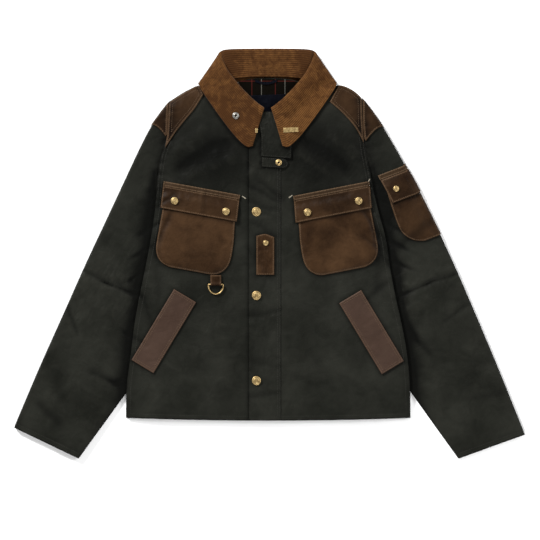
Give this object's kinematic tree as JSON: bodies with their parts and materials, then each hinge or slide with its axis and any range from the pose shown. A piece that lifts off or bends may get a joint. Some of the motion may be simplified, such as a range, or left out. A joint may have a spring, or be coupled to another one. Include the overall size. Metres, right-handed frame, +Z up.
{
  "type": "waxed cotton jacket",
  "caption": "Waxed cotton field jacket with a corduroy collar, brown shoulder patches and pockets, fastened and laid out flat on its back.",
  "frame": {"origin": "middle of the jacket's outline, on the surface that it lies on", "axes": "+X towards the wearer's left, along the spread sleeves; +Y from the hem to the collar; +Z up from the surface"},
  "size_m": [0.9576, 0.7684, 0.0227],
  "materials": {
    "waxed_cotton": "waxed, with a dull sheen",
    "brown_cotton": "waxed, matt",
    "brown_edge": "waxed, worn lighter",
    "corduroy": "needle corduroy",
    "lining": "woven check",
    "navy_tape": "woven",
    "brass": "aged, satin",
    "nickel": "satin"
  },
  "bodies": {
    "jacket": {"back": "waxed_cotton", "front_right": "waxed_cotton", "front_left": "waxed_cotton", "sleeve_right": "waxed_cotton", "sleeve_left": "waxed_cotton", "shoulder_patch_right": "brown_cotton", "shoulder_patch_left": "brown_cotton", "sleeve_head_patch_right": "brown_cotton", "sleeve_head_patch_left": "brown_cotton", "placket": "waxed_cotton", "neck_flap": "waxed_cotton", "throat_tab": "waxed_cotton", "placket_tab": "brown_cotton", "collar": "corduroy", "chest_pocket_right": "brown_cotton", "chest_flap_right": "brown_cotton", "chest_flap_band_right": "brown_edge", "chest_stud_right_1": "brass", "chest_stud_right_2": "brass", "chest_pocket_left": "brown_cotton", "chest_flap_left": "brown_cotton", "chest_flap_band_left": "brown_edge", "chest_stud_left_1": "brass", "chest_stud_left_2": "brass", "hand_pocket_welt_right": "brown_cotton", "hand_pocket_welt_left": "brown_cotton", "sleeve_pocket": "brown_cotton", "sleeve_flap": "brown_cotton", "sleeve_flap_band": "brown_edge", "ring_tab": "brown_cotton", "neck_lining": "lining", "neck_label": "navy_tape", "hanging_loop": "navy_tape", "collar_eyelet": "nickel", "collar_plate": "brass", "collar_hook": "brass", "placket_stud_1": "brass", "placket_stud_2": "brass", "placket_stud_3": "brass", "placket_tab_stud": "brass", "sleeve_stud": "brass", "throat_stud": "brass"},
    "ring": {"d_ring": "brass"}
  },
  "joints": [
    {"name": "ring_swing", "type": "hinge", "parent": "jacket", "child": "ring", "pos_m": [-0.1004, -0.05735, 0.01466], "axis": [-1, 0, 0], "range_deg": [0, 150]}
  ]
}
